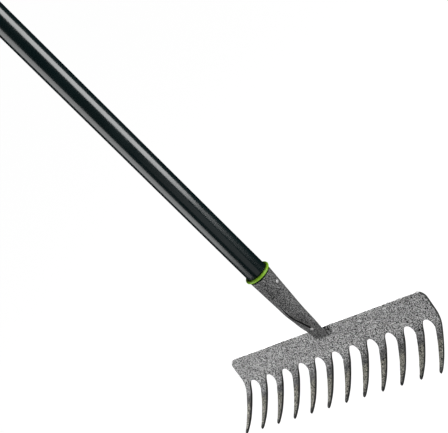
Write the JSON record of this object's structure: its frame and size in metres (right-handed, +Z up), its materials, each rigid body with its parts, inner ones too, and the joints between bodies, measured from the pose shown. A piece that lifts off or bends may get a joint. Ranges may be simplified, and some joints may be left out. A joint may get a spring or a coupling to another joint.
{
  "type": "garden rake",
  "caption": "Level-head garden rake: pressed steel head with bent tines welded to a rolled socket, on a long coated steel tube handle with a green ring and a hanging hole.",
  "frame": {"origin": "Middle of the hanging hole, on the handle's axis.", "axes": "+Z up the handle, away from the head; X along the head; the tines point to -Y."},
  "size_m": [0.285, 0.0727, 1.5011],
  "materials": {
    "head_paint": "hammertone grey paint",
    "socket_paint": "hammertone dark grey paint",
    "weld_paint": "smooth paint over weld beads",
    "rivet_steel": "bright rolled rivet",
    "tube_steel": "bare drawn tube",
    "handle_coating": "smooth glossy coating",
    "ring_green": "glossy lime green",
    "cap_plastic": "fine-grained moulded plastic"
  },
  "bodies": {
    "root": {"rake_head": "head_paint", "socket": "socket_paint", "weld_bead_left": "weld_paint", "weld_bead_right": "weld_paint", "weld_bead_end": "weld_paint", "socket_rivet": "rivet_steel", "collar_ring": "ring_green", "handle_sleeve": "handle_coating", "handle_tube": "tube_steel", "end_cap": "cap_plastic"}
  },
  "joints": []
}
